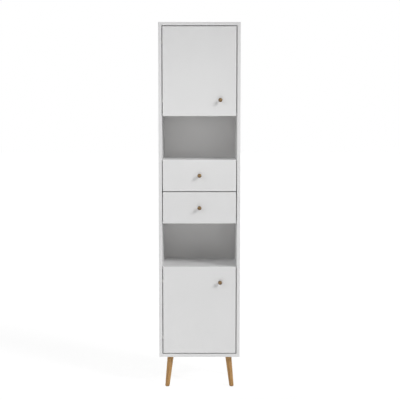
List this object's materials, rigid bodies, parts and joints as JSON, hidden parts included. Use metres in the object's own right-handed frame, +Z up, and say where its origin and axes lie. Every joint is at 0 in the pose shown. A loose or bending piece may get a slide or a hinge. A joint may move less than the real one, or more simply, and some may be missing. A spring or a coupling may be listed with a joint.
{
  "type": "linen cabinet",
  "caption": "Tall narrow white bathroom cabinet on splayed wooden legs, with inset doors at top and bottom, drawers in the middle and open niches between.",
  "frame": {"origin": "on the floor, under the middle of the cabinet's box with its knobs", "axes": "+X to the cabinet's right as seen from the front, +Y to its back, +Z up"},
  "size_m": [0.4, 0.325, 1.81],
  "materials": {
    "white_board": "white satin melamine on chipboard",
    "white_hardboard": "white painted hardboard",
    "oak": "oiled, satin",
    "beech": "raw",
    "brass": "brushed, aged",
    "fitting_steel": "nickel plated",
    "screw_steel": "zinc plated",
    "zinc": "die cast zinc",
    "white_plastic": "matte",
    "grey_plastic": "matte"
  },
  "bodies": {
    "carcass": {"back_panel": "white_hardboard", "bottom_panel": "white_board", "cam_bolts": "fitting_steel", "cam_locks": "zinc", "carcass_dowels": "beech", "drawer_rail_screws": "screw_steel", "drawer_rails_left": "white_plastic", "drawer_rails_right": "white_plastic", "foot_glides": "grey_plastic", "front_left_leg": "oak", "front_right_leg": "oak", "hinge_arm_screws": "screw_steel", "hinge_arms": "fitting_steel", "leg_bolts": "fitting_steel", "leg_plate_screws": "screw_steel", "leg_plates": "fitting_steel", "lower_cupboard_shelf": "white_board", "lower_niche_ceiling": "white_board", "lower_niche_floor": "white_board", "magnetic_catches": "grey_plastic", "rear_left_leg": "oak", "rear_right_leg": "oak", "shelf_pins": "fitting_steel", "side_panel_left": "white_board", "side_panel_right": "white_board", "top_panel": "white_board", "upper_cupboard_floor": "white_board", "upper_cupboard_shelf": "white_board", "upper_niche_floor": "white_board", "wall_bracket": "fitting_steel", "wall_bracket_screws": "screw_steel"},
    "upper_door": {"upper_door": "white_board", "upper_door_cup_screws": "screw_steel", "upper_door_hinge_cups": "fitting_steel", "upper_door_hinge_pins": "screw_steel", "upper_door_knob": "brass", "upper_door_knob_screw": "screw_steel", "upper_door_strike_plate": "fitting_steel"},
    "lower_door": {"lower_door": "white_board", "lower_door_cup_screws": "screw_steel", "lower_door_hinge_cups": "fitting_steel", "lower_door_hinge_pins": "screw_steel", "lower_door_knob": "brass", "lower_door_knob_screw": "screw_steel", "lower_door_strike_plate": "fitting_steel"},
    "upper_drawer": {"upper_drawer_back": "white_board", "upper_drawer_bottom": "white_hardboard", "upper_drawer_front": "white_board", "upper_drawer_knob": "brass", "upper_drawer_knob_screw": "screw_steel", "upper_drawer_left_side": "white_board", "upper_drawer_right_side": "white_board"},
    "lower_drawer": {"lower_drawer_back": "white_board", "lower_drawer_bottom": "white_hardboard", "lower_drawer_front": "white_board", "lower_drawer_knob": "brass", "lower_drawer_knob_screw": "screw_steel", "lower_drawer_left_side": "white_board", "lower_drawer_right_side": "white_board"}
  },
  "joints": [
    {"name": "upper_door_hinge", "type": "hinge", "parent": "carcass", "child": "upper_door", "pos_m": [-0.174, -0.1315, 1.5735], "axis": [0, 0, -1], "range_deg": [0, 100]},
    {"name": "lower_door_hinge", "type": "hinge", "parent": "carcass", "child": "lower_door", "pos_m": [-0.174, -0.1315, 0.3975], "axis": [0, 0, -1], "range_deg": [0, 100]},
    {"name": "upper_drawer_slide", "type": "slide", "parent": "carcass", "child": "upper_drawer", "axis": [0, -1, 0], "range_m": [0, 0.18]},
    {"name": "lower_drawer_slide", "type": "slide", "parent": "carcass", "child": "lower_drawer", "axis": [0, -1, 0], "range_m": [0, 0.18]}
  ]
}
